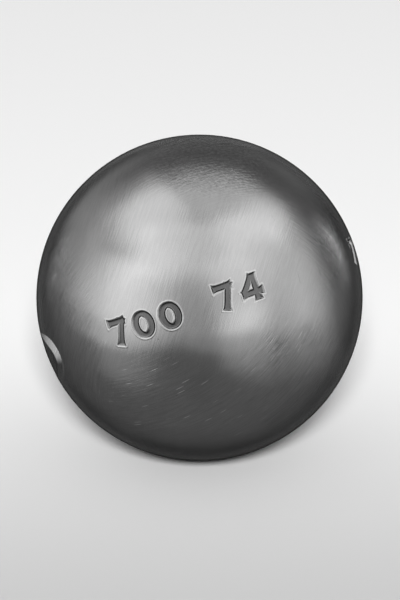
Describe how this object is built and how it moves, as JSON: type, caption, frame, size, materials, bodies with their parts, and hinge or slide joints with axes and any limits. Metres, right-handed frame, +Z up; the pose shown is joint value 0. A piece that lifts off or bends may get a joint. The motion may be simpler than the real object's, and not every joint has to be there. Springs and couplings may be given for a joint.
{
  "type": "petanque boule",
  "caption": "Hollow steel ball for throwing in petanque: half shells welded round the middle, turned to a smooth satin sphere and struck with a shallow oval.",
  "frame": {"origin": "centre of the ball", "axes": "+Z up as the ball lies in the picture, -Y towards the viewer on the side of the stamped figures, +X to the viewer's right; the seam is an upright great circle turned 45 degrees between -Y and +X"},
  "size_m": [0.074, 0.074, 0.074],
  "materials": {
    "shell_steel": "dark satin carbon steel, finely brushed",
    "weld_steel": "weld metal turned flush and brushed with the shells"
  },
  "bodies": {
    "root": {"left_half_shell": "shell_steel", "right_half_shell": "shell_steel", "seam_weld": "weld_steel"}
  },
  "joints": []
}
